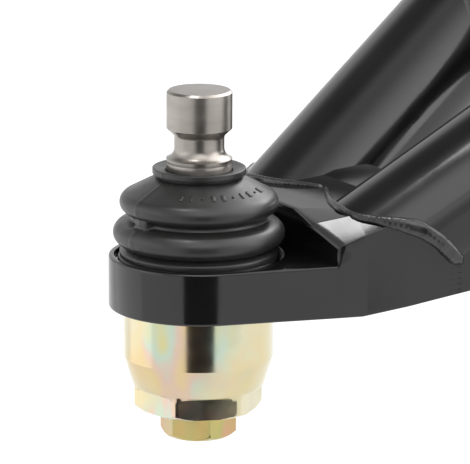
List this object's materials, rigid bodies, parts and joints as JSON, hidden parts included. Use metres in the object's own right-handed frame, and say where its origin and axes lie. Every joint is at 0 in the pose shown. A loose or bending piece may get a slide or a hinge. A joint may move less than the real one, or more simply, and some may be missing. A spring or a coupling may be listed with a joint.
{
  "type": "control arm",
  "caption": "Tubular A-shaped suspension control arm with a screw-in ball joint, pinch-bolt stud and dust boot at its nose and bushed pivot barrels.",
  "frame": {"origin": "middle of the chassis pivot axis, half way between the two pivot barrels", "axes": "+X from the ball joint towards the pivots, +Y along the pivot axis, +Z along the ball stud"},
  "size_m": [0.2895, 0.275, 0.1615],
  "materials": {
    "powder_coat": "gloss",
    "bush_compound": "satin",
    "sleeve_steel": "satin",
    "yellow_zinc": "gloss",
    "bearing_steel": "satin",
    "bearing_polymer": "matte",
    "seal_rubber": "matte",
    "stud_steel": "satin"
  },
  "bodies": {
    "chassis_sleeves": {"front_inner_sleeve": "sleeve_steel", "rear_inner_sleeve": "sleeve_steel", "pivot_thrust_washers": "sleeve_steel"},
    "arm": {"nose_body": "powder_coat", "crotch_gusset": "powder_coat", "front_leg_lower": "powder_coat", "front_leg_bend": "powder_coat", "front_leg_upper": "powder_coat", "rear_leg_lower": "powder_coat", "rear_leg_bend": "powder_coat", "rear_leg_upper": "powder_coat", "cross_brace_tube": "powder_coat", "front_nose_weld": "powder_coat", "rear_nose_weld": "powder_coat", "brace_welds": "powder_coat", "barrel_welds": "powder_coat", "front_pivot_barrel": "powder_coat", "rear_pivot_barrel": "powder_coat", "front_outer_bush": "bush_compound", "front_inner_bush": "bush_compound", "rear_inner_bush": "bush_compound", "rear_outer_bush": "bush_compound", "joint_housing": "yellow_zinc", "grease_plug": "yellow_zinc", "plug_end_disc": "seal_rubber", "upper_bearing_race": "bearing_steel", "preload_spring": "bearing_steel", "pressure_plate": "bearing_steel", "boot_clip_ring": "bearing_steel", "lower_bearing_cup": "bearing_polymer"},
    "boot_base": {"boot_lower_fold": "seal_rubber"},
    "boot_top": {"boot_upper_fold": "seal_rubber", "boot_collar": "seal_rubber"},
    "stud": {"ball_stud": "stud_steel"}
  },
  "joints": [
    {"name": "arm_swing", "type": "hinge", "parent": "chassis_sleeves", "child": "arm", "pos_m": [0, 0, 0], "axis": [0, 1, 0], "range_deg": [-30, 30]},
    {"name": "stud_tilt_fore_aft", "type": "hinge", "parent": "arm", "child": "boot_base", "pos_m": [-0.24, 0, -0.096], "axis": [1, 0, 0], "range_deg": [-18, 18], "deforming": ["boot_lower_fold"]},
    {"name": "stud_tilt_in_out", "type": "hinge", "parent": "boot_base", "child": "boot_top", "pos_m": [-0.24, 0, -0.096], "axis": [0, 1, 0], "range_deg": [-18, 18], "deforming": ["boot_upper_fold"]},
    {"name": "stud_spin", "type": "hinge", "parent": "boot_top", "child": "stud", "pos_m": [-0.24, 0, -0.096], "axis": [0, 0, 1], "continuous": true}
  ]
}
